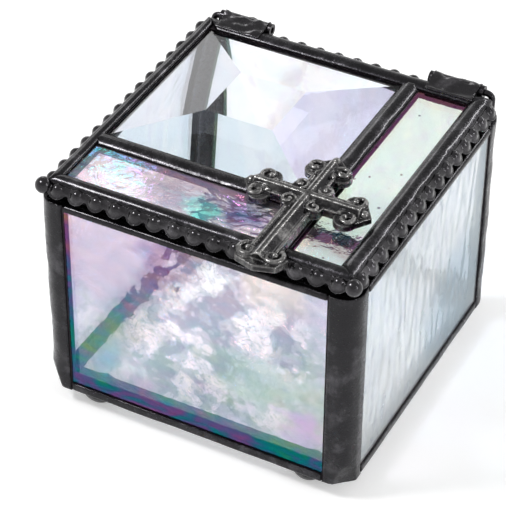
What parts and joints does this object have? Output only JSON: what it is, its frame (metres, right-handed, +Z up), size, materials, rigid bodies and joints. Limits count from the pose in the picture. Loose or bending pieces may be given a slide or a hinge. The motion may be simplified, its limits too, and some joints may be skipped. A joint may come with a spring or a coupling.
{
  "type": "glass casket box",
  "caption": "Square keepsake box of foiled glass panels with dark solder seams, ball feet and a hinged bevelled-glass lid with beaded edging and a scroll cross.",
  "frame": {"origin": "on the table under the middle of the outline, feet at z = 0", "axes": "+Z up, the front face looks to -Y, +X to the right as seen from the front, hinge line along X at the back"},
  "size_m": [0.0768, 0.0828, 0.0644],
  "materials": {
    "art_glass": "rolled texture with an iridescent violet, teal and pink film",
    "clear_glass": "polished, with four wide bevels",
    "solder": "smooth lead-free solder under a black patina, semi-gloss",
    "copper_foil": "thin adhesive foil, hidden under the solder and darkened by the patina",
    "cast_metal": "cast pewter with a dark patina rubbed bright on the ridges",
    "hinge_metal": "drawn tube and wire under the same dark patina"
  },
  "bodies": {
    "box": {"glass_front": "art_glass", "glass_right": "art_glass", "glass_back": "art_glass", "glass_left": "art_glass", "glass_bottom": "art_glass", "foil_front": "copper_foil", "foil_right": "copper_foil", "foil_back": "copper_foil", "foil_left": "copper_foil", "foil_bottom": "copper_foil", "corner_seam_fr": "solder", "corner_seam_br": "solder", "corner_seam_bl": "solder", "corner_seam_fl": "solder", "rim_seam_front": "solder", "rim_seam_right": "solder", "rim_seam_back": "solder", "rim_seam_left": "solder", "base_seam_front": "solder", "base_seam_right": "solder", "base_seam_back": "solder", "base_seam_left": "solder", "inner_seam_front": "solder", "inner_seam_right": "solder", "inner_seam_back": "solder", "inner_seam_left": "solder", "foot_fr": "solder", "foot_br": "solder", "foot_bl": "solder", "foot_fl": "solder", "hinge_pin_right": "hinge_metal", "hinge_pin_left": "hinge_metal"},
    "lid": {"lid_bevel": "clear_glass", "lid_front_strip": "art_glass", "lid_side_strip": "art_glass", "foil_bevel": "copper_foil", "foil_front_strip": "copper_foil", "foil_side_strip": "copper_foil", "long_seam": "solder", "short_seam": "solder", "border_front": "solder", "border_right": "solder", "border_back": "solder", "border_left": "solder", "edging_front": "solder", "edging_right": "solder", "edging_back": "solder", "edging_left": "solder", "cross": "cast_metal", "hinge_tube_right": "hinge_metal", "hinge_tube_left": "hinge_metal", "hinge_solder_right": "solder", "hinge_solder_left": "solder"}
  },
  "joints": [
    {"name": "lid_hinge", "type": "hinge", "parent": "box", "child": "lid", "pos_m": [0, 0.0395, 0.0606], "axis": [-1, 0, 0], "range_deg": [0, 110]}
  ]
}
